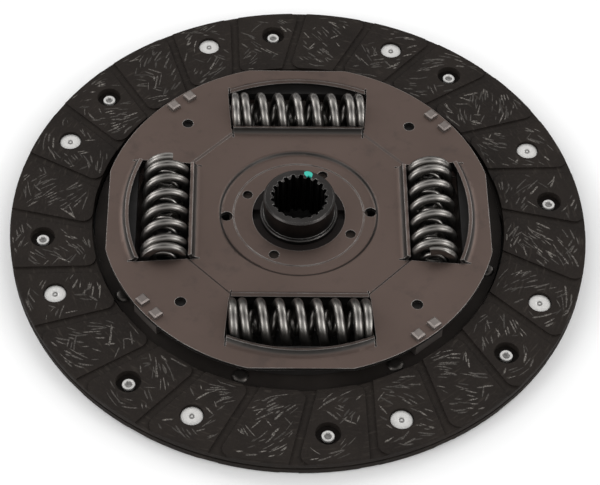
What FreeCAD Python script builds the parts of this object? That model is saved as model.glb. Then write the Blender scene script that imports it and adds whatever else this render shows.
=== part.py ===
import FreeCAD
import Part
import math
import os

# Clutch disc with a torsion damper, gearbox side up, lying on the lips of its rear plate.
# The origin is on the axis at the height of those lips. Millimetres and degrees.

# Hub
hub_top_z = 22.8
hub_bottom_z = 0.4
hub_shoulder_z = 13.2
hub_edge = 0.7
spline_teeth = 21
spline_tip_r = 10.6
spline_depth = 1.3
spline_root_share = 0.34
spline_tip_share = 0.30
spline_lead = 0.7
hub_nose_wall = 2.85
hub_shoulder = 1.35
seat_teeth = 12
seat_ledge = 2.5
seat_tooth = 2.0
seat_root_share = 0.30
seat_tip_share = 0.40

# Bushes, rings and spring washer round the hub
running_clearance = 0.05
stack_clearance = 0.05
bush_wall = 3.05
bush_front_height = 2.5
bush_notch_width = 5.0
bush_notch_depth = 1.6
rear_bush_end_z = 0.5
plate_bore_clearance = 0.1
ring_clearance = 0.4
ring_width = 7.8
friction_ring_thickness = 1.0
washer_thickness = 0.8
washer_overhang = 1.2
diaphragm_sheet = 0.5
diaphragm_overhang = 1.7

# Damper springs and the clearances round them
window_count = 4
short_spring_half = 25.4
long_spring_half = 28.5
spring_lift = 0.8
spring_end_clearance = 0.05
spring_inner_clearance = 0.2
spring_arc_clearance = 0.41
window_taper = 4.5
rear_window_clearance = 0.6
outer_coil_r = 8.2
outer_wire_r = 1.9
outer_short_pitch = 8.0
outer_long_pitch = 7.6
outer_short_turn = -0.375
outer_long_turn = 0.0
outer_closed_gap = 0.4
outer_end_grind = 1.275
outer_coil_steps = 12
outer_wire_sides = 6
inner_coil_r = 4.4
inner_wire_r = 1.05
inner_open_pitch = 5.0
inner_closed_gap = 0.2
inner_end_grind = 0.425
inner_coil_steps = 8
inner_wire_sides = 4
coil_closed_turns = 1.25

# Sheets and the heights between them
plate_sheet = 1.6
cushion_sheet = 0.6
flange_sheet = 3.6
spacer_height = 6.925
front_lip_rise = 2.1
rear_lip_depth = 2.575
flange_gap = 0.3
flange_drop = 3.0

# Front retainer plate
window_margin = 10.25
flat_depth = 2.7
lip_bend = 3.0
lip_angle = 65.0
inner_lip_overhang = 0.5
outer_lip_overhang = 1.1
lip_end_relief = 0.8
lip_sweep = 54.0
lip_end_gap = 0.5
dish_margin = 11.0
dish_corner_margin = 5.5
dish_side_margin = 2.0
dish_depth = 0.6
dish_slope = 0.9
centre_dish_margin = 5.2
centre_dish_depth = 1.6
centre_dish_bend = 1.5
coined_circle_inset = 1.6
coined_line_width = 0.5
coined_line_depth = 0.25
tooling_hole_r = 2.3
tooling_hole_inset = 14.7
tooling_hole_turn = 44.6
peg_hole_r = 2.1
peg_hole_margin = 2.7
peg_hole_turn = 64.2
index_hole_r = 2.4
index_hole_inset = 4.0
index_hole_turn = 2.5

# Rear retainer plate
rear_plate_margin = 2.4
rear_lip_lean = 1.2
rear_lip_foot = 3.0
rear_dish_inset = 3.3
rear_dish_depth = 2.275
rear_dish_slope = 10.0

# Spacers, each with two square lugs at each end
spacer_inset = 3.5
spacer_turn = 39.75
spacer_thickness = 4.5
spacer_width = 14.4
lug_size = 4.2
lug_pitch = 8.6
lug_proud = 1.8
lug_clearance = 0.05
lug_edge = 0.6

# Hub flange
flange_inset = 3.2
flange_dish_margin = 0.7
flange_dish_slope = 8.0
flange_hole_r = 3.2
flange_window_clearance = 0.3
flange_window_room = 2.0
turn_limit = 10.0
stop_clearance = 0.55

# Cushion spring disc and its rivets
cushion_ring_inset = 8.0
cushion_ring_margin = 3.0
cushion_tip_inset = 3.0
cushion_blade_count = 8
cushion_blade_turn = 12.5
cushion_neck_span = 31.0
cushion_neck_length = 6.0
cushion_tip_span = 37.8
cushion_wave_ramp = 5.0
cushion_rivet_inset = 1.0
cushion_rivet_turn = 28.0
cushion_rivet_count = 8
cushion_rivet_r = 2.0
cushion_head_r = 3.4
cushion_head_top_r = 2.0
cushion_head_height = 1.3

# Friction facings
facing_gap = 1.0
facing_width = 34.0
facing_thickness = 3.0
facing_pack = 7.05
facing_edge = 0.5
pad_count = 24
channel_width = 3.6
channel_depth = 0.8
channel_offset_share = 0.2
channel_turn = 2.0
pad_corner_r = 4.0

# Facing rivets
rivet_inset = 13.5
rivets_per_facing = 8
front_rivet_turn = 21.6
rear_rivet_turn = 5.65
rivet_head_r = 4.6
rivet_head_height = 0.9
rivet_head_sink = 1.08
rivet_shank_r = 2.0
rivet_tail_r = 2.65
rivet_tail = 1.7
rivet_seat_clearance = 0.2
rivet_hole_clearance = 0.05
tail_hole_r = 5.1

# Radii worked out from the spline outwards
spline_root_r = spline_tip_r + spline_depth
hub_nose_r = spline_root_r + hub_nose_wall
hub_body_r = hub_nose_r + hub_shoulder
seat_root_r = hub_body_r + seat_ledge
seat_tip_r = seat_root_r + seat_tooth
plate_bore_r = hub_body_r + running_clearance + bush_wall + plate_bore_clearance
ring_inner_r = seat_tip_r + ring_clearance
ring_outer_r = ring_inner_r + ring_width
washer_outer_r = ring_outer_r + washer_overhang
diaphragm_outer_r = ring_outer_r + diaphragm_overhang
coined_circle_r = ring_outer_r - coined_circle_inset
centre_dish_r = ring_outer_r + centre_dish_margin
peg_hole_circle_r = ring_inner_r + peg_hole_margin
index_hole_circle_r = centre_dish_r - index_hole_inset
front_window_inner = centre_dish_r + dish_margin
dish_corner = front_window_inner + dish_corner_margin
dish_side = front_window_inner + dish_side_margin
spring_outer_r = outer_coil_r + outer_wire_r
spring_circle_r = front_window_inner + spring_inner_clearance + spring_outer_r
spring_corner_r = math.hypot(spring_circle_r + spring_outer_r, long_spring_half)
front_window_outer_r = spring_corner_r + spring_arc_clearance
front_plate_r = front_window_outer_r + window_margin
front_plate_flat = front_plate_r - flat_depth
tooling_hole_circle_r = front_plate_r - tooling_hole_inset
rear_plate_r = front_plate_r + rear_plate_margin
rear_dish_r = spring_circle_r - rear_dish_inset
spacer_circle_r = front_plate_r - spacer_inset
flange_outer_r = front_plate_r - flange_inset
flange_dish_r = spring_circle_r + flange_dish_margin
flange_window_inner = spring_circle_r - spring_outer_r - flange_window_clearance
flange_window_outer = spring_circle_r + spring_outer_r + flange_window_room
cushion_inner_r = front_plate_r - cushion_ring_inset
cushion_valley_r = front_plate_r + cushion_ring_margin
cushion_rivet_circle_r = front_plate_r - cushion_rivet_inset
facing_inner_r = cushion_valley_r + facing_gap
facing_outer_r = facing_inner_r + facing_width
cushion_outer_r = facing_outer_r - cushion_tip_inset
channel_offset = channel_offset_share * facing_outer_r
rivet_circle_r = facing_outer_r - rivet_inset

# Heights worked out from the sizes above
rear_rim_z = rear_lip_depth
ring_low_z = rear_rim_z + plate_sheet
cushion_z = ring_low_z + cushion_sheet / 2
ring_high_z = ring_low_z + cushion_sheet
front_face_z = cushion_z + facing_pack / 2
front_facing_low_z = front_face_z - facing_thickness
front_rim_z = ring_high_z + spacer_height
front_lip_z = front_rim_z + plate_sheet + front_lip_rise
front_centre_z = front_rim_z - dish_depth - centre_dish_depth
rear_centre_z = rear_rim_z - rear_dish_depth
flange_high_z = front_rim_z - flange_gap
flange_low_z = flange_high_z - flange_sheet
seat_high_z = flange_high_z - flange_drop
seat_low_z = flange_low_z - flange_drop
spring_z = (flange_high_z + flange_low_z) / 2 + spring_lift
rear_chord = math.sqrt(spring_outer_r**2 - (spring_z - ring_low_z) ** 2)
rear_window_inner = spring_circle_r - rear_chord - rear_window_clearance
rear_window_outer_r = (
    math.hypot(spring_circle_r + rear_chord, long_spring_half) + rear_window_clearance
)

AXIS = FreeCAD.Vector(0, 0, 1)
CENTRE = FreeCAD.Vector(0, 0, 0)
WAVE = FreeCAD.Vector(0, 0, cushion_z)
TALL = facing_outer_r


def at(x, y, z=0.0):
    return FreeCAD.Vector(x, y, z)


def turned(shape, degrees):
    copy = shape.copy()
    copy.rotate(CENTRE, AXIS, degrees)
    return copy


def pattern(shape, count, first=0.0):
    """Copies of a shape at equal steps round the axis."""
    return [turned(shape, first + 360.0 * step / count) for step in range(count)]


def turned_over(shape, degrees):
    """A shape turned over about the cushion disc's middle plane, then turned about the axis."""
    copy = shape.copy()
    copy.rotate(WAVE, at(1, 0), 180)
    return turned(copy, degrees)


def post(radius, low, high, x=0.0, y=0.0):
    return Part.makeCylinder(radius, high - low, at(x, y, low))


def ring(outer, inner, low, high):
    return post(outer, low, high).cut(post(inner, low, high))


def block(x_low, x_high, half_width, low, high):
    return Part.makeBox(x_high - x_low, 2 * half_width, high - low, at(x_low, -half_width, low))


def spun(points):
    """A solid of revolution from radius and height pairs."""
    corners = [at(radius, 0, height) for radius, height in points]
    face = Part.Face(Part.makePolygon(corners + corners[:1]))
    return face.revolve(CENTRE, AXIS, 360)


def bent(start, end, bend):
    """Two equal tangent arcs that step from one level to another, as edges in the XZ plane."""
    rise = end.z - start.z
    angle = math.acos(1 - abs(rise) / (2 * bend))
    sink = math.copysign(bend * (1 - math.cos(angle / 2)), rise)
    run = bend * math.sin(angle / 2)
    middle = (start + end) / 2
    first = Part.Arc(start, start + at(run, 0, sink), middle)
    second = Part.Arc(middle, end - at(run, 0, sink), end)
    return [first.toShape(), second.toShape()]


def bent_run(rise, bend):
    """How far two such arcs reach sideways."""
    return 2 * bend * math.sin(math.acos(1 - rise / (2 * bend)))


def prism(points, low, high):
    corners = [at(x, y, low) for x, y in points]
    return Part.Face(Part.makePolygon(corners + corners[:1])).extrude(at(0, 0, high - low))


def drilled(shape, tools):
    return shape.cut(Part.makeCompound(tools))


def write(name, shape):
    """One STEP file per node, with only its solids."""
    solids = shape.Solids
    result = solids[0] if len(solids) == 1 else Part.makeCompound(solids)
    result.exportStep("parts/" + name + ".step")


# Friction facings


def channel_floor_tool(low, high):
    """One straight channel across the facing, beside the axis by the channel offset."""
    strip = Part.makeBox(
        facing_outer_r, channel_width, high - low, at(0, channel_offset - channel_width / 2, low)
    )
    return turned(strip, channel_turn)


def pad(low, high):
    """One pad between two channels, with two rounded corners."""
    sector = ring(facing_outer_r, facing_inner_r, low, high)
    first = channel_floor_tool(low, high)
    second = turned(first, 360.0 / pad_count)
    reach = 2 * facing_outer_r
    before = Part.makeBox(
        2 * reach, reach, high - low, at(-reach, channel_offset - channel_width / 2 - reach, low)
    )
    after = Part.makeBox(
        2 * reach, reach, high - low, at(-reach, channel_offset + channel_width / 2, low)
    )
    kept = sector.cut(first).cut(second)
    kept = kept.cut(turned(before, channel_turn))
    kept = kept.cut(turned(after, channel_turn + 360.0 / pad_count))
    kept = max(kept.Solids, key=lambda solid: solid.Volume)
    corners = []
    for edge in kept.Edges:
        ends = [vertex.Point for vertex in edge.Vertexes]
        if len(ends) == 2 and abs(ends[0].z - ends[1].z) > 0.9 * (high - low):
            corners.append(edge)

    def place(edge):
        point = edge.Vertexes[0].Point
        return math.hypot(point.x, point.y), math.atan2(point.y, point.x)

    outer = [edge for edge in corners if place(edge)[0] > (facing_outer_r + facing_inner_r) / 2]
    inner = [edge for edge in corners if place(edge)[0] < (facing_outer_r + facing_inner_r) / 2]
    leading = min(outer, key=lambda edge: place(edge)[1])
    trailing = max(inner, key=lambda edge: place(edge)[1])
    return kept.makeFillet(pad_corner_r, [leading, trailing])


def eased_edge(high):
    """What the eased outer edge takes off the pads."""
    return spun(
        [
            (facing_outer_r - facing_edge, high),
            (facing_outer_r + facing_edge, high - 2 * facing_edge),
            (facing_outer_r + facing_edge, high),
        ]
    )


def front_facing():
    floor_z = front_face_z - channel_depth
    body = ring(facing_outer_r, facing_inner_r, front_facing_low_z, floor_z)
    body = body.multiFuse(pattern(pad(floor_z, front_face_z), pad_count))
    seat_z = front_face_z - rivet_head_sink - rivet_head_height
    seat = post(rivet_head_r + rivet_seat_clearance, seat_z, front_face_z, rivet_circle_r)
    hole = post(rivet_shank_r + rivet_hole_clearance, front_facing_low_z, seat_z, rivet_circle_r)
    tail_hole = post(tail_hole_r, front_facing_low_z, front_face_z, rivet_circle_r)
    tools = pattern(seat, rivets_per_facing, front_rivet_turn)
    tools += pattern(hole, rivets_per_facing, front_rivet_turn)
    tools += pattern(tail_hole, rivets_per_facing, rear_rivet_turn)
    tools.append(eased_edge(front_face_z))
    return drilled(body, tools)


def front_rivet():
    """Flat head in its seat, shank through facing and sheet, and tail closed on the sheet."""
    head_z = front_face_z - rivet_head_sink
    seat_z = head_z - rivet_head_height
    sheet_z = front_facing_low_z - cushion_sheet
    tail_z = sheet_z - rivet_tail
    return spun(
        [
            (0, tail_z),
            (rivet_tail_r, tail_z),
            (rivet_tail_r, sheet_z),
            (rivet_shank_r, sheet_z),
            (rivet_shank_r, seat_z),
            (rivet_head_r, seat_z),
            (rivet_head_r, head_z),
            (0, head_z),
        ]
    ).translated(at(rivet_circle_r, 0))


# Cushion spring disc


def blade():
    """One blade: a flat under the front facing and a flat on the rear one, joined by a ramp."""
    high = front_facing_low_z
    low = cushion_z - (front_facing_low_z - cushion_z)
    ramp = cushion_wave_ramp / 2
    reach = cushion_outer_r / 2
    root = cushion_valley_r - 0.5
    profile = [
        (-reach, low),
        (-ramp, low),
        (ramp, high - cushion_sheet),
        (reach, high - cushion_sheet),
        (reach, high),
        (ramp, high),
        (-ramp, low + cushion_sheet),
        (-reach, low + cushion_sheet),
    ]
    corners = [at(root, across, height) for across, height in profile]
    wave = Part.Face(Part.makePolygon(corners + corners[:1])).extrude(at(cushion_outer_r, 0))
    half_neck = math.radians(cushion_neck_span / 2)
    neck = cushion_valley_r * math.sin(half_neck)
    shoulder = cushion_valley_r * math.cos(half_neck) + cushion_neck_length
    tip = cushion_outer_r * math.tan(math.radians(cushion_tip_span / 2))
    outline = [
        (root * math.cos(half_neck), -neck),
        (shoulder, -neck),
        (cushion_outer_r, -tip),
        (cushion_outer_r, tip),
        (shoulder, neck),
        (root * math.cos(half_neck), neck),
    ]
    shape = wave.common(prism(outline, low - 1, high + 1))
    return shape.common(ring(cushion_outer_r, root, low - 1, high + 1))


def cushion_disc():
    body = ring(cushion_valley_r, cushion_inner_r, ring_low_z, ring_high_z)
    body = body.multiFuse(pattern(blade(), cushion_blade_count, cushion_blade_turn))
    hole = post(rivet_shank_r + rivet_hole_clearance, 0, TALL, rivet_circle_r)
    rivet_hole = post(cushion_rivet_r + rivet_hole_clearance, 0, TALL, cushion_rivet_circle_r)
    tools = pattern(hole, rivets_per_facing, front_rivet_turn)
    tools += pattern(hole, rivets_per_facing, rear_rivet_turn)
    tools += pattern(rivet_hole, cushion_rivet_count, cushion_rivet_turn)
    return drilled(body, tools + lug_holes())


def cushion_rivet():
    return spun(
        [
            (0, rear_rim_z - cushion_head_height),
            (cushion_head_r, rear_rim_z - cushion_head_height),
            (cushion_head_r, rear_rim_z),
            (cushion_rivet_r, rear_rim_z),
            (cushion_rivet_r, ring_high_z),
            (cushion_head_r, ring_high_z),
            (cushion_head_top_r, ring_high_z + cushion_head_height),
            (0, ring_high_z + cushion_head_height),
        ]
    ).translated(at(cushion_rivet_circle_r, 0))


# Spacers between the plates


def lug_holes():
    half = lug_size / 2 + lug_clearance
    tools = []
    for side in (-1, 1):
        tool = Part.makeBox(
            2 * half, 2 * half, TALL, at(spacer_circle_r - half, side * lug_pitch / 2 - half, 0)
        )
        tools += pattern(tool, window_count, spacer_turn)
    return tools


def spacer():
    half = spacer_thickness / 2
    body = block(
        spacer_circle_r - half, spacer_circle_r + half, spacer_width / 2, ring_high_z, front_rim_z
    )
    low = rear_rim_z - lug_proud
    high = front_rim_z + plate_sheet + lug_proud
    for side in (-1, 1):
        lug = Part.makeBox(
            lug_size,
            lug_size,
            high - low,
            at(spacer_circle_r - lug_size / 2, side * lug_pitch / 2 - lug_size / 2, low),
        )
        rims = [edge for edge in lug.Edges if abs(edge.BoundBox.ZMin - edge.BoundBox.ZMax) < lug_edge]
        body = body.fuse(lug.makeChamfer(lug_edge, rims))
    return turned(body.removeSplitter(), spacer_turn)


# Retainer plates


def in_pairs(make):
    """Shapes for the short springs right and left and for the long ones behind and in front."""
    return pattern(make(short_spring_half), 2) + pattern(make(long_spring_half), 2, 90)


def widening(inner, outer, spring_half, relief, low, high):
    """A block as long as the spring at the inner edge of its window, and longer outwards."""
    slope = math.tan(math.radians(window_taper))
    start = spring_half + spring_end_clearance - relief
    near = start + (inner - front_window_inner) * slope
    far = start + (outer - front_window_inner) * slope
    return prism([(inner, -near), (outer, -far), (outer, far), (inner, near)], low, high)


def window(inner, outer_r, spring_half, relief, low, high):
    """A spring window: straight inside, an arc about the axis outside, widening outwards."""
    return widening(inner, outer_r, spring_half, relief, low, high).common(post(outer_r, low, high))


def lip_run(z):
    """How far a front lip reaches from its foot, at sheet height z, to the edge of its tip."""
    lean = math.radians(lip_angle)
    rise = front_lip_z - z - plate_sheet - lip_bend * (1 - math.cos(lean))
    return lip_bend * math.sin(lean) + rise / math.tan(lean) + plate_sheet * math.sin(lean)


def lip_profile(tip, z, side):
    """A front lip in a radial plane: bent up from the sheet and leaning over the spring."""
    lean = math.radians(lip_angle)
    foot = tip - side * lip_run(z)
    top = z + plate_sheet

    def on_bend(radius, angle):
        height = top + lip_bend - radius * math.cos(angle)
        return at(foot + side * radius * math.sin(angle), 0, height)

    outside = lip_bend + plate_sheet
    high = at(tip - side * plate_sheet * math.sin(lean), 0, front_lip_z)
    low = at(tip, 0, front_lip_z - plate_sheet * math.cos(lean))
    edges = [
        Part.Arc(on_bend(lip_bend, 0), on_bend(lip_bend, lean / 2), on_bend(lip_bend, lean)).toShape(),
        Part.makeLine(on_bend(lip_bend, lean), high),
        Part.makeLine(high, low),
        Part.makeLine(low, on_bend(outside, lean)),
        Part.Arc(on_bend(outside, lean), on_bend(outside, lean / 2), on_bend(outside, 0)).toShape(),
        Part.makeLine(on_bend(outside, 0), on_bend(lip_bend, 0)),
    ]
    return Part.Face(Part.Wire(edges))


def leaning_profile(face, direction):
    """A rear lip in a radial plane, bent over towards the spring that it cradles."""
    low = -plate_sheet
    lean = direction * rear_lip_lean
    back = face - direction * plate_sheet * math.hypot(1, rear_lip_lean)
    foot = face - direction * rear_lip_foot
    points = [
        at(foot, 0, low),
        at(face, 0, low),
        at(face + lean * (rear_lip_depth - low), 0, rear_lip_depth),
        at(back + lean * (rear_lip_depth - low), 0, rear_lip_depth),
        at(back - lean * low, 0, 0),
        at(foot, 0, 0),
    ]
    return Part.Face(Part.makePolygon(points + points[:1]))


def straight_lip(profile, spring_half):
    lip = profile.translated(at(0, -spring_half)).extrude(at(0, 2 * spring_half))
    ends = widening(0, facing_outer_r, spring_half, lip_end_relief, -TALL, TALL)
    return lip.common(ends)


def curved_lip(profile, spring_half):
    """The profile turned about the axis, further than the window, and cut at both ends."""
    lip = turned(profile, -lip_sweep / 2).revolve(CENTRE, AXIS, lip_sweep)
    ends = widening(0, facing_outer_r, spring_half, lip_end_relief, -TALL, TALL)
    return lip.common(ends)


def windowed(sheet, inner, outer_r, inner_foot, outer_foot, inner_profile, outer_profile):
    """Cuts the four windows in a sheet, wider where the lips start, and adds the lips."""

    def opening(spring_half):
        relief = lip_end_relief - lip_end_gap
        narrow = window(inner, outer_r, spring_half, 0, -TALL, TALL)
        return narrow.fuse(window(inner_foot, outer_foot, spring_half, relief, -TALL, TALL))

    lips = in_pairs(lambda spring_half: straight_lip(inner_profile, spring_half))
    lips += in_pairs(lambda spring_half: curved_lip(outer_profile, spring_half))
    return drilled(sheet, in_pairs(opening)).multiFuse(lips)


def plain_holes():
    hole = post(tooling_hole_r, -TALL, TALL, tooling_hole_circle_r)
    return pattern(hole, window_count, tooling_hole_turn) + [post(plate_bore_r, -TALL, TALL)]


def front_dish(z):
    """The hollow pressed into the plate's face: eight-sided, with a round one inside it."""

    def outline(shrink, height):
        side = dish_side - shrink
        corner = (dish_corner - shrink) * math.sqrt(2) - side
        points = []
        for quarter in range(4):
            c = round(math.cos(math.radians(90 * quarter)))
            s = round(math.sin(math.radians(90 * quarter)))
            for x, y in ((side, -corner), (side, corner)):
                points.append(at(x * c - y * s, x * s + y * c, height))
        return Part.makePolygon(points + points[:1])

    floor = z - dish_depth
    wide = outline(0, z).Wires[0]
    narrow = outline(dish_slope, floor).Wires[0]
    hollow = Part.makeLoft([wide, narrow], True, True)
    centre_z = floor - centre_dish_depth
    wall = centre_dish_r - bent_run(centre_dish_depth, centre_dish_bend)
    edges = [Part.makeLine(at(0, 0, centre_z), at(wall, 0, centre_z))]
    edges += bent(at(wall, 0, centre_z), at(centre_dish_r, 0, floor), centre_dish_bend)
    edges.append(Part.makeLine(at(centre_dish_r, 0, floor), at(0, 0, floor)))
    edges.append(Part.makeLine(at(0, 0, floor), at(0, 0, centre_z)))
    deep = Part.Face(Part.Wire(edges)).revolve(CENTRE, AXIS, 360)
    return hollow.fuse(deep)


def front_plate():
    low_limit = front_centre_z - plate_sheet
    top_z = front_rim_z + plate_sheet
    flats = block(-front_plate_flat, front_plate_flat, front_plate_flat, low_limit, top_z)
    outline = flats.common(post(front_plate_r, low_limit, top_z))
    upper = outline.cut(front_dish(top_z))
    lower = post(facing_outer_r, low_limit - 1, front_rim_z).cut(front_dish(front_rim_z))
    sheet = upper.cut(lower)
    dish_z = front_rim_z - dish_depth
    inner_tip = front_window_inner + inner_lip_overhang
    outer_tip = front_window_outer_r - outer_lip_overhang
    body = windowed(
        sheet,
        front_window_inner,
        front_window_outer_r,
        inner_tip - lip_run(dish_z),
        outer_tip + lip_run(front_rim_z),
        lip_profile(inner_tip, dish_z, 1),
        lip_profile(outer_tip, front_rim_z, -1),
    )
    peg_hole = post(peg_hole_r, 0, TALL, peg_hole_circle_r)
    index_hole = post(index_hole_r, 0, TALL, index_hole_circle_r)
    tools = plain_holes() + lug_holes()
    tools += pattern(peg_hole, window_count, peg_hole_turn)
    tools += pattern(index_hole, 2, index_hole_turn)
    floor_z = front_centre_z + plate_sheet
    half_line = coined_line_width / 2
    tools.append(
        ring(
            coined_circle_r + half_line,
            coined_circle_r - half_line,
            floor_z - coined_line_depth,
            floor_z,
        )
    )
    return drilled(body, tools).removeSplitter()


def rear_plate():
    """Made face down like the front plate, then turned over into place."""
    top = 0.0
    low = -plate_sheet
    dish = rear_dish_depth
    sheet = spun(
        [
            (0, top + dish),
            (rear_dish_r - rear_dish_slope, top + dish),
            (rear_dish_r, top),
            (rear_plate_r, top),
            (rear_plate_r, low),
            (rear_dish_r, low),
            (rear_dish_r - rear_dish_slope, low + dish),
            (0, low + dish),
        ]
    )
    body = windowed(
        sheet,
        rear_window_inner,
        rear_window_outer_r,
        rear_window_inner - rear_lip_foot,
        rear_window_outer_r + rear_lip_foot,
        leaning_profile(rear_window_inner, 1),
        leaning_profile(rear_window_outer_r, -1),
    )
    body.rotate(CENTRE, at(1, 0), 180)
    body.translate(at(0, 0, rear_rim_z))
    rivet_hole = post(cushion_rivet_r + rivet_hole_clearance, -TALL, TALL, cushion_rivet_circle_r)
    tools = plain_holes() + lug_holes()
    tools += pattern(rivet_hole, cushion_rivet_count, cushion_rivet_turn)
    return drilled(body, tools).removeSplitter()


# Damper springs


def coil(half, coil_r, wire_r, open_pitch, closed_gap, end_grind, coil_steps, sides, hand, turn):
    """A coil spring along Y with closed, ground ends, built from mitred straight pieces."""
    closed_pitch = 2 * wire_r + closed_gap
    path_half = half + end_grind - wire_r
    open_half = path_half - coil_closed_turns * closed_pitch
    steps = round((open_half / open_pitch + coil_closed_turns) * coil_steps)
    open_turns = 2 * (steps / coil_steps - coil_closed_turns)
    pitch = 2 * open_half / open_turns
    vertex_r = coil_r / math.cos(math.pi / coil_steps / 2)
    points = []
    for step in range(-steps, steps + 1):
        turns = step / coil_steps
        open_part = max(-open_turns / 2, min(open_turns / 2, turns))
        along = pitch * open_part + closed_pitch * (turns - open_part)
        angle = 2 * math.pi * (turns * hand + turn)
        points.append(at(vertex_r * math.sin(angle), along, vertex_r * math.cos(angle)))
    headings = [(after - before).normalize() for before, after in zip(points, points[1:])]
    across = headings[0].cross(at(0, 0, 1)).normalize()
    upward = across.cross(headings[0])
    section_r = wire_r / math.cos(math.pi / sides / 2)
    section = []
    for side in range(sides):
        angle = 2 * math.pi * (side + 0.5) / sides
        spoke = across * math.cos(angle) + upward * math.sin(angle)
        section.append(points[0] + spoke * section_r)
    rings = [section]
    for index, heading in enumerate(headings):
        after = headings[min(index + 1, len(headings) - 1)]
        mitre = heading + after
        section = [
            corner + heading * ((points[index + 1] - corner).dot(mitre) / heading.dot(mitre))
            for corner in section
        ]
        rings.append(section)
    faces = [Part.Face(Part.makePolygon(rings[0] + rings[0][:1]))]
    faces.append(Part.Face(Part.makePolygon(rings[-1] + rings[-1][:1])))
    for before, after in zip(rings, rings[1:]):
        for side in range(sides):
            other = (side + 1) % sides
            corners = [before[side], before[other], after[other], after[side]]
            faces.append(Part.Face(Part.makePolygon(corners + corners[:1])))
    shell = Part.Shell(faces)
    shell.sewShape()
    solid = Part.Solid(shell)
    if solid.Volume < 0:
        solid.reverse()
    reach = coil_r + 2 * wire_r
    ends = Part.makeBox(2 * reach, 2 * half, 2 * reach, at(-reach, -half, -reach))
    return solid.common(ends).translated(at(spring_circle_r, 0, spring_z))


def outer_spring(half):
    short = half == short_spring_half
    return coil(
        half,
        outer_coil_r,
        outer_wire_r,
        outer_short_pitch if short else outer_long_pitch,
        outer_closed_gap,
        outer_end_grind,
        outer_coil_steps,
        outer_wire_sides,
        1,
        outer_short_turn if short else outer_long_turn,
    )


def inner_spring(half):
    return coil(
        half,
        inner_coil_r,
        inner_wire_r,
        inner_open_pitch,
        inner_closed_gap,
        inner_end_grind,
        inner_coil_steps,
        inner_wire_sides,
        -1,
        0.0,
    )


# Hub and flange


def toothed(count, root_r, tip_r, root_share, tip_share, inward, low, high, grow=0.0):
    """A prism with straight-sided teeth, each narrower at its tip than at its root."""
    step = 2 * math.pi / count
    far, near = (root_r, tip_r) if inward else (tip_r, root_r)
    far_share, near_share = (root_share, tip_share) if inward else (tip_share, root_share)
    points = []
    for tooth in range(count):
        middle = step * tooth
        for radius, turn in (
            (near, -0.5 + near_share / 2),
            (far, -far_share / 2),
            (far, far_share / 2),
            (near, 0.5 - near_share / 2),
        ):
            angle = middle + turn * step
            reach = radius + grow
            points.append((reach * math.cos(angle), reach * math.sin(angle)))
    return prism(points, low, high)


def seat(low, high, grow=0.0):
    """The toothed seat that carries the flange on the hub."""
    return toothed(
        seat_teeth, seat_root_r, seat_tip_r, seat_root_share, seat_tip_share, False, low, high, grow
    )


def hub():
    body = spun(
        [
            (0, hub_bottom_z),
            (hub_body_r - hub_edge, hub_bottom_z),
            (hub_body_r, hub_bottom_z + hub_edge),
            (hub_body_r, hub_shoulder_z - hub_edge / 2),
            (hub_body_r - hub_edge / 2, hub_shoulder_z),
            (hub_nose_r, hub_shoulder_z),
            (hub_nose_r, hub_top_z - hub_edge),
            (hub_nose_r - hub_edge, hub_top_z),
            (0, hub_top_z),
        ]
    )
    body = body.fuse(seat(seat_low_z, seat_high_z))
    bore = toothed(
        spline_teeth,
        spline_root_r,
        spline_tip_r,
        spline_root_share,
        spline_tip_share,
        True,
        hub_bottom_z,
        hub_top_z,
    )
    lead = spun(
        [
            (0, hub_top_z - spline_lead),
            (spline_tip_r, hub_top_z - spline_lead),
            (spline_tip_r + spline_lead, hub_top_z),
            (0, hub_top_z),
        ]
    )
    return body.cut(bore).cut(lead)


def hub_flange():
    low_edge = flange_dish_r - flange_dish_slope
    body = spun(
        [
            (0, seat_low_z),
            (low_edge, seat_low_z),
            (flange_dish_r, flange_low_z),
            (flange_outer_r, flange_low_z),
            (flange_outer_r, flange_high_z),
            (flange_dish_r, flange_high_z),
            (low_edge, seat_high_z),
            (0, seat_high_z),
        ]
    )

    def opening(spring_half):
        full = window(
            flange_window_inner, front_window_outer_r, spring_half, 0, seat_low_z, flange_high_z
        )
        return full.common(block(0, flange_window_outer, TALL, seat_low_z, flange_high_z))

    notch_r = spacer_circle_r - spacer_thickness / 2 - stop_clearance
    half_width = spacer_width / 2 + stop_clearance
    inner_corner = spacer_circle_r - spacer_thickness / 2
    half_notch = math.degrees(math.atan(half_width / inner_corner)) + turn_limit
    sweep = ring(facing_outer_r, notch_r, flange_low_z, flange_high_z)
    wedge = [(0, 0)]
    for turn in (-half_notch, 0, half_notch):
        angle = math.radians(turn)
        reach = 2 * facing_outer_r
        wedge.append((reach * math.cos(angle), reach * math.sin(angle)))
    notch = sweep.common(prism(wedge, flange_low_z, flange_high_z))
    tools = in_pairs(opening) + pattern(notch, window_count, spacer_turn)
    hole = post(flange_hole_r, seat_low_z, seat_high_z, index_hole_circle_r)
    tools += pattern(hole, 2, index_hole_turn)
    tools.append(seat(seat_low_z, seat_high_z, stack_clearance))
    return drilled(body, tools)


# Bushes, rings and spring washer


def front_bush():
    low = seat_high_z + stack_clearance
    high = low + bush_front_height
    inner = hub_body_r + running_clearance
    sleeve = ring(inner + bush_wall, inner, low, high)
    notch = block(
        -inner - bush_wall, inner + bush_wall, bush_notch_width / 2, high - bush_notch_depth, high
    )
    return sleeve.cut(notch)


def rear_bush():
    inner = hub_body_r + running_clearance
    return ring(inner + bush_wall, inner, rear_bush_end_z, seat_low_z - stack_clearance)


def front_support_ring():
    return ring(
        ring_outer_r, ring_inner_r, seat_high_z + stack_clearance, front_centre_z - stack_clearance
    )


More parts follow.
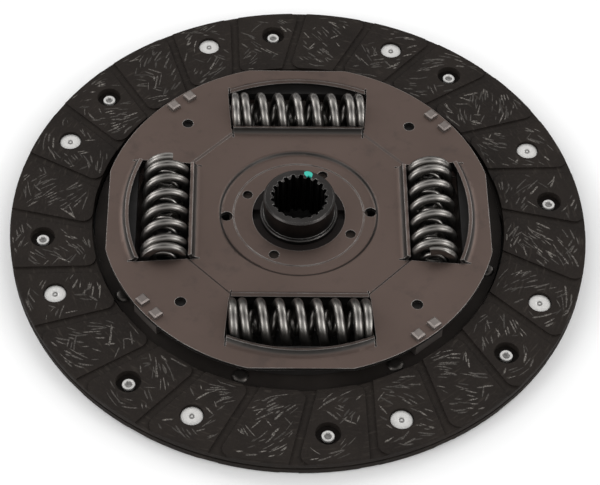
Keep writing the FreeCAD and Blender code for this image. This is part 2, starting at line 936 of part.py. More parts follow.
def rear_stack():
    """Friction ring, pressure washer and diaphragm spring between flange and rear plate."""
    ring_top = seat_low_z - stack_clearance
    ring_low = ring_top - friction_ring_thickness
    washer_top = ring_low - stack_clearance
    washer_low = washer_top - washer_thickness
    cone_top = washer_low - stack_clearance
    cone_low = rear_centre_z + plate_sheet + stack_clearance
    friction = ring(ring_outer_r, ring_inner_r, ring_low, ring_top)
    washer = ring(washer_outer_r, ring_inner_r, washer_low, washer_top)
    cone = spun(
        [
            (ring_inner_r, cone_top - diaphragm_sheet),
            (diaphragm_outer_r, cone_low),
            (diaphragm_outer_r, cone_low + diaphragm_sheet),
            (ring_inner_r, cone_top),
        ]
    )
    return friction, washer, cone


def main():
    os.makedirs("parts", exist_ok=True)
    facing = front_facing()
    flip_turn = front_rivet_turn + rear_rivet_turn
    write("friction_facing_front", facing)
    write("friction_facing_rear", turned_over(facing, flip_turn))
    rivets = Part.makeCompound(pattern(front_rivet(), rivets_per_facing, front_rivet_turn))
    write("facing_rivets_front", rivets)
    write("facing_rivets_rear", turned_over(rivets, flip_turn))
    write("cushion_spring_disc", cushion_disc())
    cushion_rivets = pattern(cushion_rivet(), cushion_rivet_count, cushion_rivet_turn)
    write("cushion_rivets", Part.makeCompound(cushion_rivets))
    write("retainer_plate_front", front_plate())
    write("retainer_plate_rear", rear_plate())
    for number, shape in enumerate(pattern(spacer(), window_count), 1):
        write("spacer_%d" % number, shape)
    for number, shape in zip((1, 3, 2, 4), in_pairs(outer_spring)):
        write("outer_spring_%d" % number, shape)
    for number, shape in zip((1, 3, 2, 4), in_pairs(inner_spring)):
        write("inner_spring_%d" % number, shape)
    write("hub", hub())
    write("hub_flange", hub_flange())
    write("bush_front", front_bush())
    write("bush_rear", rear_bush())
    write("support_ring_front", front_support_ring())
    friction, washer, cone = rear_stack()
    write("friction_ring_rear", friction)
    write("pressure_washer_rear", washer)
    write("diaphragm_spring", cone)


main()
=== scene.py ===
import bpy
import math
import random

from mathutils import Matrix, Vector


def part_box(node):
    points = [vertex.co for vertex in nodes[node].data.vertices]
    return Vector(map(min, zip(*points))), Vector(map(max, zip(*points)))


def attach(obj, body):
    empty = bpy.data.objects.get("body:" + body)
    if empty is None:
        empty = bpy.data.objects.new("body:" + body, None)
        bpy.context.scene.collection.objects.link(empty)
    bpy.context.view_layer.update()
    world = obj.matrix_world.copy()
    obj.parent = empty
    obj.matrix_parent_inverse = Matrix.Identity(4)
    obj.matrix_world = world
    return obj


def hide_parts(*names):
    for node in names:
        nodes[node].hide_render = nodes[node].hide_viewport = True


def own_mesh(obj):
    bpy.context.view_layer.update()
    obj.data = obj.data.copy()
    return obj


# Clutch disc lying on a white floor, gearbox side up. Metres, in the frame of the CAD model.

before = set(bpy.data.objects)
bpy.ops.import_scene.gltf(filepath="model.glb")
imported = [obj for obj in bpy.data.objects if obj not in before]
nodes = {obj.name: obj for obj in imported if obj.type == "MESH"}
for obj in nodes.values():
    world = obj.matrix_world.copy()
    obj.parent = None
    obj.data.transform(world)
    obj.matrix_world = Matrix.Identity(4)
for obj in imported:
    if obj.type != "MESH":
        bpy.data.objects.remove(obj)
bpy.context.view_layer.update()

MM = 0.001

# Heights and radii that the pieces here share with the solids, read from the frame
facing_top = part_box("friction_facing_front")[1].z
facing_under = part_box("friction_facing_rear")[0].z
middle_z = (facing_top + facing_under) / 2
head_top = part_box("facing_rivets_front")[1].z
tail_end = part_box("facing_rivets_front")[0].z
hub_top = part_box("hub")[1].z
spring_z = (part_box("outer_spring_1")[0].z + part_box("outer_spring_1")[1].z) / 2

# Damper springs
SPRING_CIRCLE_R = 55.3 * MM
SHORT_SPRING_HALF = 25.4 * MM
LONG_SPRING_HALF = 28.5 * MM
SHORT_SPRING_PITCH = 8.0 * MM
LONG_SPRING_PITCH = 7.6 * MM
INNER_SPRING_PITCH = 5.0 * MM
SHORT_SPRING_START = -0.375
CLOSED_TURNS = 1.25

# The two wires: coil and wire radius, gap of the closed turns, what is ground off an end, steps of
# the solid and of this scene for each turn, sides of the section and hand
OUTER_WIRE = {
    "coil_r": 8.2 * MM, "wire_r": 1.9 * MM, "gap": 0.4 * MM, "grind": 1.275 * MM,
    "rough": 12, "fine": 36, "sides": 16, "hand": 1,
}
INNER_WIRE = {
    "coil_r": 4.4 * MM, "wire_r": 1.05 * MM, "gap": 0.2 * MM, "grind": 0.425 * MM,
    "rough": 8, "fine": 26, "sides": 10, "hand": -1,
}

# Friction facings, their channels and their rivets
FACING_INNER_R = 86.0 * MM
FACING_OUTER_R = 120.0 * MM
PAD_COUNT = 24
CHANNEL_WIDTH = 3.6 * MM
CHANNEL_OFFSET = 24.0 * MM
CHANNEL_TURN = 2.0
RIVET_CIRCLE_R = 106.5 * MM
FRONT_RIVET_TURN = 21.6
REAR_RIVET_TURN = 5.65
SEAT_HOLE_R = 4.8 * MM
TAIL_HOLE_R = 5.1 * MM
RIVET_COUNT = 8
RIVET_SEGMENTS = 40
CUSHION_RIVET_R = 81.0 * MM
CUSHION_RIVET_TURN = 28.0
CUSHION_HEAD_HEIGHT = 1.3 * MM
SHARP_ANGLE = 40.0

# Yarn ends in the face of the facings
YARN_GROUPS = 900
YARN_APART = 3.2 * MM
YARN_LEAN = 52.0
YARN_STEP = 0.9 * MM
YARN_CROWN = 0.05 * MM
YARN_SINK = 0.05 * MM
YARN_LONGEST = 11.0 * MM
YARN_DIMMEST = 0.08
YARN_END_SHARE = 0.3
YARN_END_LIGHT = 0.4
YARN_TRIES = 20000
YARN_CORNERS = 5

# Room that the yarn keeps from the facing's edges, from the channels and from the rivet holes
INNER_EDGE_ROOM = 1.0 * MM
OUTER_EDGE_ROOM = 1.2 * MM
RIM_WIDTH = 5.0 * MM
RIM_CHANNEL_ROOM = 2.6 * MM
CHANNEL_ROOM = 0.5 * MM
HOLE_ROOM = 0.9 * MM

# Paint dab on the hub's end face
DAB_PLACE = (3.9 * MM, 11.6 * MM)
DAB_R = 1.75 * MM
DAB_RAGGED = 0.6 * MM
DAB_TONE = (0.03, 0.46, 0.37)

# Tones of the browned plates and of the hub
PLATE_DARK = (0.108, 0.0785, 0.0670)
PLATE_LIGHT = (0.126, 0.0915, 0.0785)
HUB_DARK = (0.028, 0.0262, 0.0252)
HUB_LIGHT = (0.048, 0.0447, 0.0430)

# Floor, with a painted shadow that keeps it dark where the disc covers it
FLOOR_SIZE = 6.0
FLOOR_TONE = (0.94, 0.94, 0.94)
PAINTED_SHADOW_TONE = (0.015, 0.014, 0.013)
PAINTED_SHADOW_R = 85.0 * MM
PAINTED_SHADOW_FADE = 20 * MM

# Light: brightness of the room by height, and four soft lamps with their place and watts
ROOM_LEVELS = ((0.0, 0.03), (0.35, 0.08), (0.50, 1.00), (0.85, 1.08), (0.92, 0.50), (0.96, 0.03))
LAMP_SIZE = 0.8
LAMPS = (
    ("back_left", (-1.3, 0.9, 0.70), 8.0),
    ("back_right", (1.3, 0.9, 0.70), 6.5),
    ("front_left", (-1.35, -0.75, 0.70), 9.5),
    ("front_right", (1.35, -0.75, 0.70), 9.5),
)

# Camera, at the place and turn found from the photograph
CAMERA_PLACE = (-20.156 * MM, -528.558 * MM, 666.596 * MM)
CAMERA_TURN = (38.0804, -1.3698, -0.5424)
SENSOR_WIDTH = 36.0
LENS = 121.217


# Small helpers for materials


def rgba(tone):
    """A tone as a colour socket takes it: a link as it is, a plain colour with its alpha."""
    return tone if isinstance(tone, bpy.types.NodeSocket) else (*tone, 1.0)


class Surface:
    """A material whose nodes are added one by one."""

    def __init__(self, name):
        self.material = bpy.data.materials.new(name)
        self.material.use_nodes = True
        self.tree = self.material.node_tree
        self.shader = self.tree.nodes["Principled BSDF"]
        self.place = self.add("ShaderNodeTexCoord").outputs["Object"]

    def add(self, kind, **settings):
        node = self.tree.nodes.new(kind)
        for key, value in settings.items():
            setattr(node, key, value)
        return node

    def feed(self, socket, value):
        if isinstance(value, bpy.types.NodeSocket):
            self.tree.links.new(value, socket)
        else:
            socket.default_value = value

    def math(self, operation, first, second=0.0):
        node = self.add("ShaderNodeMath", operation=operation)
        self.feed(node.inputs[0], first)
        self.feed(node.inputs[1], second)
        return node.outputs[0]

    def noise(self, place, scale, detail=3.0, roughness=0.5):
        node = self.add("ShaderNodeTexNoise")
        self.feed(node.inputs["Vector"], place)
        node.inputs["Scale"].default_value = scale
        node.inputs["Detail"].default_value = detail
        node.inputs["Roughness"].default_value = roughness
        return node.outputs["Fac"]

    def stretched(self, place, scale):
        node = self.add("ShaderNodeMapping")
        self.feed(node.inputs["Vector"], place)
        node.inputs["Scale"].default_value = scale
        return node.outputs["Vector"]

    def spread(self, value, low, high, to_low=0.0, to_high=1.0):
        node = self.add("ShaderNodeMapRange")
        self.feed(node.inputs["Value"], value)
        node.inputs["From Min"].default_value = low
        node.inputs["From Max"].default_value = high
        node.inputs["To Min"].default_value = to_low
        node.inputs["To Max"].default_value = to_high
        return node.outputs["Result"]

    def colour(self, share, first, second):
        node = self.add("ShaderNodeMix", data_type="RGBA")
        self.feed(node.inputs["Factor"], share)
        self.feed(node.inputs["A"], rgba(first))
        self.feed(node.inputs["B"], rgba(second))
        return node.outputs["Result"]

    def split(self, vector):
        node = self.add("ShaderNodeSeparateXYZ")
        self.feed(node.inputs[0], vector)
        return node.outputs

    def length(self, x, y):
        squares = self.math("ADD", self.math("MULTIPLY", x, x), self.math("MULTIPLY", y, y))
        return self.math("SQRT", squares)

    def polar(self):
        """Place as turn round the axis, distance from it and height."""
        x, y, z = self.split(self.place)
        joined = self.add("ShaderNodeCombineXYZ")
        self.feed(joined.inputs[0], self.math("MULTIPLY", self.math("ARCTAN2", y, x), 0.1))
        self.feed(joined.inputs[1], self.length(x, y))
        self.feed(joined.inputs[2], z)
        return joined.outputs[0]

    def bump(self, height, depth, edge=0.0):
        node = self.add("ShaderNodeBump")
        self.feed(node.inputs["Height"], height)
        node.inputs["Distance"].default_value = depth
        if edge:
            self.feed(node.inputs["Normal"], self.edge(edge))
        self.feed(self.shader.inputs["Normal"], node.outputs["Normal"])

    def wear_and_highlight(self, radius, flat=0.93, sharp=0.78):
        """How sharply the surface turns within the radius, from 0 on a flat to 1 at an edge; it lightens
        edges as wear and as painted highlight.
        """
        node = self.add("ShaderNodeVectorMath", operation="DOT_PRODUCT")
        self.feed(node.inputs[0], self.edge(radius))
        self.feed(node.inputs[1], self.add("ShaderNodeNewGeometry").outputs["Normal"])
        return self.spread(node.outputs["Value"], flat, sharp)

    def slope(self, level, steep):
        """How far the surface leans, from 0 on a level face to 1 on a steep one."""
        upward = self.split(self.add("ShaderNodeTexCoord").outputs["Normal"])[2]
        return self.spread(self.math("ABSOLUTE", upward), level, steep)

    def edge(self, radius):
        """Rounded edges for the shading."""
        node = self.add("ShaderNodeBevel", samples=4)
        node.inputs["Radius"].default_value = radius
        return node.outputs["Normal"]

    def finish(self, colour, roughness, metallic=0.0, specular=0.5):
        self.feed(self.shader.inputs["Base Color"], rgba(colour))
        self.feed(self.shader.inputs["Roughness"], roughness)
        self.feed(self.shader.inputs["Metallic"], metallic)
        self.feed(self.shader.inputs["Specular IOR Level"], specular)
        return self.material


def facing_material():
    """Pressed friction material, almost black, with a mottled grain."""
    s = Surface("facing_compound")
    broad = s.noise(s.place, 60.0, 3.0)
    grain = s.noise(s.place, 900.0, 4.0, 0.6)
    threads = s.noise(s.stretched(s.polar(), (160.0, 900.0, 900.0)), 1.0, 2.0)
    tone = s.colour(s.spread(broad, 0.35, 0.7), (0.0128, 0.0100, 0.0084), (0.0195, 0.0155, 0.0131))
    tone = s.colour(s.spread(grain, 0.5, 0.8, 0.0, 0.5), tone, (0.030, 0.025, 0.021))
    tone = s.colour(s.spread(threads, 0.60, 0.74, 0.0, 0.45), tone, (0.050, 0.042, 0.035))
    s.bump(s.math("ADD", grain, threads), 0.10 * MM, 0.3 * MM)
    return s.finish(tone, s.spread(broad, 0.3, 0.7, 0.6, 0.8), 0.0, 0.11)


def yarn_material():
    """Light ends of the yarn that lie in the face of the facing."""
    s = Surface("facing_yarn")
    light = s.add("ShaderNodeAttribute", attribute_name="light").outputs["Fac"]
    grain = s.noise(s.place, 1500.0, 2.0)
    tone = s.colour(light, (0.026, 0.022, 0.019), (0.195, 0.178, 0.158))
    tone = s.colour(s.spread(grain, 0.38, 0.62), (0.026, 0.023, 0.020), tone)
    return s.finish(tone, 0.65, 0.0, 0.25)


def steel(name, dark, light, roughness, metallic=1.0, wear_and_highlight=None, specular=0.5):
    """Steel with soft blotches, a fine grain and slightly rounded edges, lightened partly as wear and
    partly as painted highlight.
    """
    s = Surface(name)
    broad = s.noise(s.place, 45.0, 4.0)
    fine = s.noise(s.place, 400.0, 3.0)
    tone = s.colour(s.spread(broad, 0.3, 0.7), dark, light)
    if wear_and_highlight:
        # Lighter edges: partly wear, partly painted highlight.
        tone = s.colour(s.math("MULTIPLY", s.wear_and_highlight(0.2 * MM), s.spread(fine, 0.3, 0.6)), tone, wear_and_highlight)
    rough = s.spread(broad, 0.3, 0.7, roughness, roughness + 0.08)
    rough = s.math("ADD", s.spread(fine, 0.3, 0.7, -0.05, 0.05), rough)
    s.bump(fine, 0.02 * MM, 0.25 * MM)
    return s.finish(tone, rough, metallic, specular)


def plate_material():
    """Sheet steel with a brown oxide skin, a few smudges, lighter edges that are partly bare metal and
    partly painted highlight, and leaning faces darkened as painted shade.
    """
    s = Surface("browned_plate_steel")
    broad = s.noise(s.place, 26.0, 3.0)
    fine = s.noise(s.place, 700.0, 3.0)
    smudge = s.noise(s.place, 110.0, 5.0, 0.65)
    tone = s.colour(s.spread(broad, 0.3, 0.7), PLATE_DARK, PLATE_LIGHT)
    tone = s.colour(s.spread(smudge, 0.56, 0.75, 0.0, 0.35), tone, (0.056, 0.048, 0.045))
    # Painted shade: leaning faces, such as the window lips, are darker.
    tone = s.colour(s.slope(0.96, 0.72), tone, (0.050, 0.046, 0.043))
    # Lighter edges: partly bare metal, partly painted highlight.
    edge_wear_and_highlight = s.math("MULTIPLY", s.wear_and_highlight(0.6 * MM, 0.97, 0.83), s.spread(smudge, 0.35, 0.6, 0.35, 1.0))
    tone = s.colour(edge_wear_and_highlight, tone, (0.40, 0.385, 0.37))
    s.bump(fine, 0.015 * MM, 0.25 * MM)
    return s.finish(tone, s.spread(smudge, 0.3, 0.7, 0.42, 0.50), 0.85, 0.4)


def hub_material():
    """Turned steel, darkened, with a dab of turquoise paint on the end face."""
    s = Surface("hub_steel")
    broad = s.noise(s.place, 90.0, 4.0)
    rings = s.noise(s.stretched(s.polar(), (40.0, 3000.0, 3000.0)), 1.0, 2.0)
    tone = s.colour(s.spread(broad, 0.3, 0.7), HUB_DARK, HUB_LIGHT)
    # Lighter edges: partly wear, partly painted highlight.
    edge_wear_and_highlight = s.math("MULTIPLY", s.wear_and_highlight(0.4 * MM), s.spread(broad, 0.3, 0.6, 0.4, 1.0))
    tone = s.colour(edge_wear_and_highlight, tone, (0.36, 0.35, 0.335))
    x, y, z = s.split(s.place)
    away = s.length(s.math("SUBTRACT", x, DAB_PLACE[0]), s.math("SUBTRACT", y, DAB_PLACE[1]))
    ragged = s.spread(s.noise(s.place, 500.0, 2.0), 0.3, 0.7, -DAB_RAGGED, DAB_RAGGED)
    inside = s.spread(s.math("ADD", away, ragged), DAB_R, DAB_R - 0.15 * MM)
    dab = s.math("MULTIPLY", inside, s.spread(z, hub_top - 1.0 * MM, hub_top - 0.8 * MM))
    tone = s.colour(dab, tone, DAB_TONE)
    s.bump(rings, 0.02 * MM, 0.3 * MM)
    return s.finish(tone, s.spread(rings, 0.3, 0.7, 0.32, 0.44), s.math("SUBTRACT", 1.0, dab))


def rivet_material():
    """Bright plated rivet with a dull centre where the tool pressed it."""
    s = Surface("rivet_steel")
    fine = s.noise(s.place, 1200.0, 3.0)
    centre = s.add("ShaderNodeAttribute", attribute_name="centre").outputs["Fac"]
    mark = s.math("MULTIPLY", centre, s.spread(fine, 0.3, 0.6, 0.7, 1.0))
    tone = s.colour(s.spread(fine, 0.3, 0.7), (0.58, 0.57, 0.555), (0.69, 0.68, 0.66))
    tone = s.colour(mark, tone, (0.15, 0.145, 0.14))
    s.bump(fine, 0.04 * MM, 0.1 * MM)
    return s.finish(tone, s.spread(fine, 0.3, 0.7, 0.34, 0.46), 0.5)


def coil_material():
    """Oil-hardened spring wire, dark, with a satin sheen and faint scale."""
    s = Surface("coil_spring_steel")
    scale = s.noise(s.place, 350.0, 4.0, 0.6)
    patch = s.noise(s.place, 60.0, 3.0)
    tone = s.colour(s.spread(patch, 0.3, 0.7), (0.19, 0.180, 0.168), (0.26, 0.247, 0.232))
    tone = s.colour(s.spread(scale, 0.55, 0.75, 0.0, 0.5), tone, (0.08, 0.075, 0.07))
    s.bump(scale, 0.02 * MM)
    return s.finish(tone, s.spread(scale, 0.3, 0.7, 0.30, 0.38), 1.0)


def plastic(name, colour, roughness):
    """Dull moulded plastic or friction compound."""
    s = Surface(name)
    fine = s.noise(s.place, 700.0, 3.0)
    s.bump(fine, 0.02 * MM, 0.2 * MM)
    return s.finish(colour, s.spread(fine, 0.3, 0.7, roughness, roughness + 0.1), 0.0, 0.15)


facing_look = facing_material()
yarn_look = yarn_material()
plate_look = plate_material()
spacer_look = steel(
    "spacer_steel", (0.170, 0.147, 0.137), (0.250, 0.222, 0.205), 0.45, 0.8, wear_and_highlight=(0.40, 0.36, 0.34)
)
# Near black: partly the spring steel's own dark tone, partly painted shade for the shadow that lies inside
# the disc.
cushion_look = steel(
    "cushion_spring_steel", (0.0150, 0.0124, 0.0110), (0.0270, 0.0226, 0.0200), 0.6, 0.3,
    wear_and_highlight=(0.20, 0.18, 0.17), specular=0.12
)
dome_look = steel("cushion_rivet_steel", (0.040, 0.036, 0.033), (0.065, 0.059, 0.054), 0.3, 0.8)
coil_look = coil_material()
hub_look = hub_material()
flange_look = steel("flange_steel", (0.008, 0.007, 0.0065), (0.014, 0.012, 0.011), 0.6, 0.3)
rivet_look = rivet_material()
ring_look = steel("ring_steel", (0.030, 0.022, 0.018), (0.050, 0.037, 0.030), 0.6, 0.5)
# Near black: partly the bush's own dark plastic, partly painted shade for the shadow it lies in.
bush_look = plastic("bush_plastic", (0.0062, 0.0042, 0.0036), 0.6)
liner_look = plastic("friction_ring_compound", (0.03, 0.026, 0.022), 0.7)

LOOKS = {
    "friction_facing_front": facing_look,
    "friction_facing_rear": facing_look,
    "cushion_spring_disc": cushion_look,
    "retainer_plate_front": plate_look,
    "retainer_plate_rear": plate_look,
    "hub": hub_look,
    "hub_flange": flange_look,
    "bush_front": bush_look,
    "bush_rear": bush_look,
    "support_ring_front": ring_look,
    "friction_ring_rear": liner_look,
    "pressure_washer_rear": spacer_look,
    "diaphragm_spring": cushion_look,
}
for number in range(1, 5):
    LOOKS["spacer_%d" % number] = spacer_look
for name, look in LOOKS.items():
    data = nodes[name].data
    data.materials.clear()
    data.materials.append(look)


# Pieces made here


def solid_piece(name, points, faces, look, body):
    """A mesh object in the frame of the model, smooth except at its sharp edges."""
    data = bpy.data.meshes.new(name)
    data.from_pydata([tuple(point) for point in points], [], faces)
    data.validate()
    data.materials.append(look)
    data.polygons.foreach_set("use_smooth", [True] * len(data.polygons))
    data.set_sharp_from_angle(angle=math.radians(SHARP_ANGLE))
    data.update()
    piece = bpy.data.objects.new(name, data)
    bpy.context.collection.objects.link(piece)
    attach(piece, body)
    return piece


def coil(name, quarter, half, open_pitch, start, wire):
    """A smooth round-wire coil spring with closed, ground ends, along the window.

    The turns are rounded to the rough steps of the solid, and drawn with fine ones."""
    coil_r, wire_r, hand = wire["coil_r"], wire["wire_r"], wire["hand"]
    rough, sides = wire["rough"], wire["sides"]
    closed_pitch = 2 * wire_r + wire["gap"]
    open_half = half + wire["grind"] - wire_r - CLOSED_TURNS * closed_pitch
    half_turns = round((open_half / open_pitch + CLOSED_TURNS) * rough) / rough
    open_turns = 2 * (half_turns - CLOSED_TURNS)
    pitch = 2 * open_half / open_turns
    count = round(2 * half_turns * wire["fine"])
    turn = Matrix.Rotation(math.radians(90 * quarter), 3, "Z")
    centre = Vector((SPRING_CIRCLE_R, 0, spring_z))
    line = []
    for step in range(count + 1):
        turns = -half_turns + 2 * half_turns * step / count
        open_part = max(-open_turns / 2, min(open_turns / 2, turns))
        along = pitch * open_part + closed_pitch * (turns - open_part)
        angle = 2 * math.pi * (turns * hand + start)
        line.append(Vector((coil_r * math.sin(angle), along, coil_r * math.cos(angle))))
    points = []
    for step, spot in enumerate(line):
        heading = (line[min(step + 1, count)] - line[max(step - 1, 0)]).normalized()
        out = Vector((spot.x, 0, spot.z)).normalized()
        side = heading.cross(out).normalized()
        out = side.cross(heading)
        for corner in range(sides):
            angle = 2 * math.pi * corner / sides
            point = spot + (out * math.cos(angle) + side * math.sin(angle)) * wire_r
            point.y = max(-half, min(half, point.y))
            points.append(turn @ (centre + point))
    faces = [tuple(range(sides - 1, -1, -1))]
    faces.append(tuple(count * sides + corner for corner in range(sides)))
    for step in range(count):
        for corner in range(sides):
            near, far = step * sides + corner, step * sides + (corner + 1) % sides
            faces.append((near, far, far + sides, near + sides))
    piece = solid_piece(name, points, faces, coil_look, "damper_springs")
    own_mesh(piece)
    return piece


def rivet_row(name, profile, circle_r, first, over, look, dull=None):
    """Turned rivets on one circle, joined to one piece, with their dull centres marked."""
    points, faces, marks = [], [], []
    segments = RIVET_SEGMENTS
    for number in range(RIVET_COUNT):
        angle = math.radians(first + number * 360 / RIVET_COUNT)
        base = len(points)
        for radius, height in profile:
            for segment in range(segments):
                spin = 2 * math.pi * segment / segments
                spot = Vector((radius * math.cos(spin), radius * math.sin(spin), height))
                if over:
                    spot = Vector((spot.x, -spot.y, 2 * middle_z - spot.z))
                points.append(spot + Vector((circle_r * math.cos(angle), circle_r * math.sin(angle), 0)))
                marks.append(dull(radius, height, spin) if dull else 0.0)
        for row in range(len(profile) - 1):
            for segment in range(segments):
                one = base + row * segments + segment
                two = base + row * segments + (segment + 1) % segments
                faces.append((one, one + segments, two + segments, two))
        faces.append(tuple(base + segment for segment in range(segments)))
        last = base + (len(profile) - 1) * segments
        faces.append(tuple(last + segment for segment in range(segments - 1, -1, -1)))
    piece = solid_piece(name, points, faces, look, "plates")
    shade = piece.data.attributes.new("centre", "FLOAT", "POINT")
    shade.data.foreach_set("value", marks)
    return piece


def on_pad(x, y):
    """Whether a place on the face is clear of the channels, the rivet holes and the rims."""
    away = math.hypot(x, y)
    if not FACING_INNER_R + INNER_EDGE_ROOM < away < FACING_OUTER_R - OUTER_EDGE_ROOM:
        return False
    near_rim = away > FACING_OUTER_R - RIM_WIDTH or away < FACING_INNER_R + RIM_WIDTH
    margin = RIM_CHANNEL_ROOM if near_rim else CHANNEL_ROOM
    for channel in range(PAD_COUNT):
        angle = math.radians(CHANNEL_TURN + channel * 360 / PAD_COUNT)
        forward = x * math.cos(angle) + y * math.sin(angle)
        beside = y * math.cos(angle) - x * math.sin(angle)
        if forward > 0 and abs(beside - CHANNEL_OFFSET) < CHANNEL_WIDTH / 2 + margin:
            return False
    for first, hole_r in ((FRONT_RIVET_TURN, SEAT_HOLE_R), (REAR_RIVET_TURN, TAIL_HOLE_R)):
        for number in range(RIVET_COUNT):
            angle = math.radians(first + number * 360 / RIVET_COUNT)
            gap = math.hypot(x - RIVET_CIRCLE_R * math.cos(angle), y - RIVET_CIRCLE_R * math.sin(angle))
            if gap < hole_r + HOLE_ROOM:
                return False
    return True


def winding(place, side):
    """Heading of the wound yarn: along the rims at both edges, and slanted in between."""
    middle = (FACING_INNER_R + FACING_OUTER_R) / 2
    share = (place.length - middle) / ((FACING_OUTER_R - FACING_INNER_R) / 2)
    lean = side * math.radians(YARN_LEAN) * max(0.0, 1 - share * share)
    return math.atan2(place.y, place.x) + math.pi / 2 - lean


def yarn_groups(dice):
    """Places of the groups, spread evenly over the face, each with the side it slants to."""
    groups = []
    tries = 0
    while len(groups) < YARN_GROUPS and tries < YARN_TRIES:
        tries += 1
        away = dice.uniform(FACING_INNER_R, FACING_OUTER_R)
        turn = dice.uniform(0, 2 * math.pi)
        place = Vector((away * math.cos(turn), away * math.sin(turn), 0))
        if all((place - other).length > YARN_APART for other, _ in groups):
            side = 1 if math.sin(9 * turn + 2.1 * math.sin(2 * turn)) > dice.gauss(0, 0.75) else -1
            groups.append((place, side))
    return groups


def yarn_strand(start, side, length, drift):
    """Places and headings along one strand that follows the winding."""
    segments = max(3, round(length / YARN_STEP))
    line = []
    spot = start.copy()
    for step in range(segments + 1):
        heading = winding(spot, side) + drift
        line.append((spot.copy(), heading))
        spot = spot + Vector((math.cos(heading), math.sin(heading), 0)) * (length / segments)
    return line


def yarn_ends(name, seed, over):
    """Light yarn ends that show in the face, in loose groups of near parallel strands."""
    dice = random.Random(seed)
    points, faces, shades = [], [], []
    back = Matrix.Rotation(math.radians(FRONT_RIVET_TURN + REAR_RIVET_TURN), 3, "Z")
    for centre, side in yarn_groups(dice):
        way = winding(centre, side)
        ahead = Vector((math.cos(way), math.sin(way), 0))
        beside = Vector((-math.sin(way), math.cos(way), 0))
        bright = min(1.0, 0.16 + dice.expovariate(3.0))
        strands = dice.choice((1, 1, 2, 2, 3, 4))
        spacing = dice.uniform(1.0, 1.9) * MM
        for strand in range(strands):
            shift = (strand - (strands - 1) / 2) * spacing + dice.gauss(0, 0.15) * MM
            length = min((dice.uniform(1.8, 4.5) + dice.expovariate(0.7)) * MM, YARN_LONGEST)
            start = centre + beside * shift + ahead * (dice.gauss(0, 1.0) * MM - length / 2)
            width = dice.uniform(0.22, 0.5) * MM
            light = min(1.0, max(YARN_DIMMEST, bright + dice.gauss(0, 0.12)))
            line = yarn_strand(start, side, length, dice.gauss(0, 0.16))
            if not all(on_pad(place.x, place.y) for place, _ in line):
                continue
            base = len(points)
            last = len(line) - 1
            for step, (place, turn) in enumerate(line):
                at_end = step in (0, last)
                across = Vector((-math.sin(turn), math.cos(turn), 0)) * width
                across *= YARN_END_SHARE if at_end else dice.uniform(0.6, 1.2)
                crown = YARN_CROWN * (YARN_END_SHARE if at_end else 1.0)
                shoulder = 0.3 * crown
                section = ((-1, -YARN_SINK), (-0.8, shoulder), (0, crown), (0.8, shoulder), (1, -YARN_SINK))
                for offset, height in section:
                    point = place + across * offset + Vector((0, 0, facing_top + height))
                    if over:
                        point = back @ Vector((point.x, -point.y, 2 * middle_z - point.z))
                    points.append(point)
                    shades.append(light * (YARN_END_LIGHT if at_end else 1.0))
            for step in range(last):
                for corner in range(YARN_CORNERS):
                    near = base + step * YARN_CORNERS + corner
                    far = base + step * YARN_CORNERS + (corner + 1) % YARN_CORNERS
                    faces.append((near, near + YARN_CORNERS, far + YARN_CORNERS, far))
            faces.append(tuple(base + corner for corner in range(YARN_CORNERS)))
            end = base + last * YARN_CORNERS
            faces.append(tuple(end + corner for corner in range(YARN_CORNERS - 1, -1, -1)))
    piece = solid_piece(name, points, faces, yarn_look, "plates")
    shade = piece.data.attributes.new("light", "FLOAT", "POINT")
    shade.data.foreach_set("value", shades)
    return piece


for quarter in range(4):
    number = quarter + 1
    short = quarter % 2 == 0
    half = SHORT_SPRING_HALF if short else LONG_SPRING_HALF
    pitch = SHORT_SPRING_PITCH if short else LONG_SPRING_PITCH
    start = SHORT_SPRING_START if short else 0.0
    outer = coil("spring_outer_coil_%d" % number, quarter, half, pitch, start, OUTER_WIRE)
    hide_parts("outer_spring_%d" % number)
    inner = coil("spring_inner_coil_%d" % number, quarter, half, INNER_SPRING_PITCH, 0.0, INNER_WIRE)
    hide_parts("inner_spring_%d" % number)

# Half sections of the rivets, as radius and height
seat_top = head_top - 0.9 * MM
sheet_under = tail_end + 1.7 * MM
RIVET_PROFILE = [
    (0.3 * MM, head_top - 0.04 * MM),
    (0.55 * MM, head_top - 0.05 * MM),
    (0.75 * MM, head_top - 0.22 * MM),
    (1.05 * MM, head_top - 0.22 * MM),
    (1.3 * MM, head_top - 0.02 * MM),
    (1.6 * MM, head_top),
    (4.1 * MM, head_top),
    (4.42 * MM, head_top - 0.08 * MM),
    (4.6 * MM, head_top - 0.3 * MM),
    (4.6 * MM, seat_top + 0.1 * MM),
    (4.5 * MM, seat_top),
    (2.0 * MM, seat_top),
    (2.0 * MM, sheet_under),
    (2.45 * MM, sheet_under),
    (2.65 * MM, sheet_under - 0.3 * MM),
    (2.65 * MM, tail_end + 0.5 * MM),
    (2.5 * MM, tail_end + 0.15 * MM),
    (2.15 * MM, tail_end),
    (1.7 * MM, tail_end + 0.06 * MM),
    (1.45 * MM, tail_end + 0.35 * MM),
    (1.2 * MM, tail_end + 0.8 * MM),
    (0.4 * MM, tail_end + 0.95 * MM),
]


def rivet_mark(radius, height, spin):
    """Dull ring in the middle of the head, and the split, star-shaped bottom of the tail."""
    if height > middle_z:
        return 1.0 if 0.5 * MM < radius < 1.2 * MM else 0.0
    star = 0.5 + 0.5 * math.cos(6 * spin)
    return 1.0 if radius < 1.3 * MM else 0.75 * star if radius < 1.6 * MM else 0.0


for name, turn, over in (("front", FRONT_RIVET_TURN, False), ("rear", REAR_RIVET_TURN, True)):
    rivets = rivet_row(
        "clinched_rivets_" + name, RIVET_PROFILE, RIVET_CIRCLE_R, turn, over,
        rivet_look, rivet_mark
    )
    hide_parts("facing_rivets_" + name)

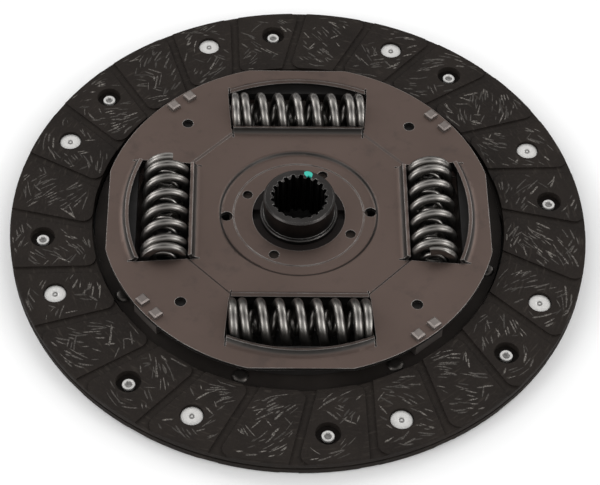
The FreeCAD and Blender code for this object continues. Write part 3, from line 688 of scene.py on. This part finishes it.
dome_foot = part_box("cushion_rivets")[1].z - CUSHION_HEAD_HEIGHT
rear_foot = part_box("cushion_rivets")[0].z + CUSHION_HEAD_HEIGHT
CUSHION_RIVET_PROFILE = [
    (0.5 * MM, dome_foot + CUSHION_HEAD_HEIGHT),
    (1.6 * MM, dome_foot + 1.28 * MM),
    (2.2 * MM, dome_foot + 1.15 * MM),
    (2.8 * MM, dome_foot + 0.80 * MM),
    (3.2 * MM, dome_foot + 0.35 * MM),
    (3.4 * MM, dome_foot),
    (2.0 * MM, dome_foot),
    (2.0 * MM, rear_foot),
    (3.4 * MM, rear_foot),
    (3.4 * MM, rear_foot - 0.5 * MM),
    (3.25 * MM, rear_foot - 0.95 * MM),
    (2.8 * MM, rear_foot - 1.22 * MM),
    (2.2 * MM, rear_foot - CUSHION_HEAD_HEIGHT),
    (0.5 * MM, rear_foot - CUSHION_HEAD_HEIGHT),
]
cushion_rivets = rivet_row(
    "riveted_cushion_heads", CUSHION_RIVET_PROFILE, CUSHION_RIVET_R, CUSHION_RIVET_TURN, False,
    dome_look
)
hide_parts("cushion_rivets")

yarn_ends("yarn_ends_front", 11, False)
yarn_ends("yarn_ends_rear", 23, True)


# Floor, light and camera


def stage():
    """White floor with a painted shadow under the disc, the room and the lamps."""
    floor_look = Surface("floor_white_painted_shadow")
    bpy.ops.mesh.primitive_plane_add(size=FLOOR_SIZE)
    floor = bpy.context.object
    floor.name = "floor"
    away = floor_look.add("ShaderNodeVectorMath", operation="LENGTH")
    floor_look.feed(away.inputs[0], floor_look.place)
    # Painted shadow: the floor is dark under the middle of the disc and fades to white further out.
    clear = floor_look.spread(away.outputs["Value"], PAINTED_SHADOW_R, PAINTED_SHADOW_R + PAINTED_SHADOW_FADE)
    tone = floor_look.colour(clear, PAINTED_SHADOW_TONE, FLOOR_TONE)
    floor.data.materials.append(floor_look.finish(tone, 0.9))
    studio()
    for name, place, power in LAMPS:
        light = bpy.data.lights.new(name, "AREA")
        light.size = LAMP_SIZE
        light.energy = power
        lamp = bpy.data.objects.new(name, light)
        lamp.location = place
        lamp.rotation_euler = (-Vector(place)).to_track_quat("-Z", "Y").to_euler()
        bpy.context.collection.objects.link(lamp)


def studio():
    """White behind the object, and a soft room that is darkest at the horizon and straight up."""
    world = bpy.data.worlds.new("studio")
    world.use_nodes = True
    tree = world.node_tree
    background = tree.nodes["Background"]
    place = tree.nodes.new("ShaderNodeTexCoord")
    parts = tree.nodes.new("ShaderNodeSeparateXYZ")
    tree.links.new(place.outputs["Generated"], parts.inputs[0])
    ramp = tree.nodes.new("ShaderNodeValToRGB")
    ramp.color_ramp.elements.remove(ramp.color_ramp.elements[1])
    for position, level in ROOM_LEVELS:
        stop = ramp.color_ramp.elements.new(position) if position else ramp.color_ramp.elements[0]
        stop.color = (level, level, level, 1.0)
    height = tree.nodes.new("ShaderNodeMath")
    height.operation = "ABSOLUTE"
    tree.links.new(parts.outputs["Z"], height.inputs[0])
    tree.links.new(height.outputs[0], ramp.inputs["Fac"])
    seen = tree.nodes.new("ShaderNodeLightPath")
    mix = tree.nodes.new("ShaderNodeMix")
    mix.data_type = "RGBA"
    tree.links.new(seen.outputs["Is Camera Ray"], mix.inputs["Factor"])
    tree.links.new(ramp.outputs["Color"], mix.inputs["A"])
    mix.inputs["B"].default_value = (1.0, 1.0, 1.0, 1.0)
    tree.links.new(mix.outputs["Result"], background.inputs["Color"])
    bpy.context.scene.world = world


def camera():
    """Camera at the photograph's viewing angle."""
    data = bpy.data.cameras.new("camera")
    data.sensor_fit = "HORIZONTAL"
    data.sensor_width = SENSOR_WIDTH
    data.lens = LENS
    eye = bpy.data.objects.new("camera", data)
    eye.location = CAMERA_PLACE
    eye.rotation_euler = [math.radians(angle) for angle in CAMERA_TURN]
    bpy.context.collection.objects.link(eye)
    bpy.context.scene.camera = eye


stage()
camera()
bpy.context.scene.view_settings.view_transform = "Standard"
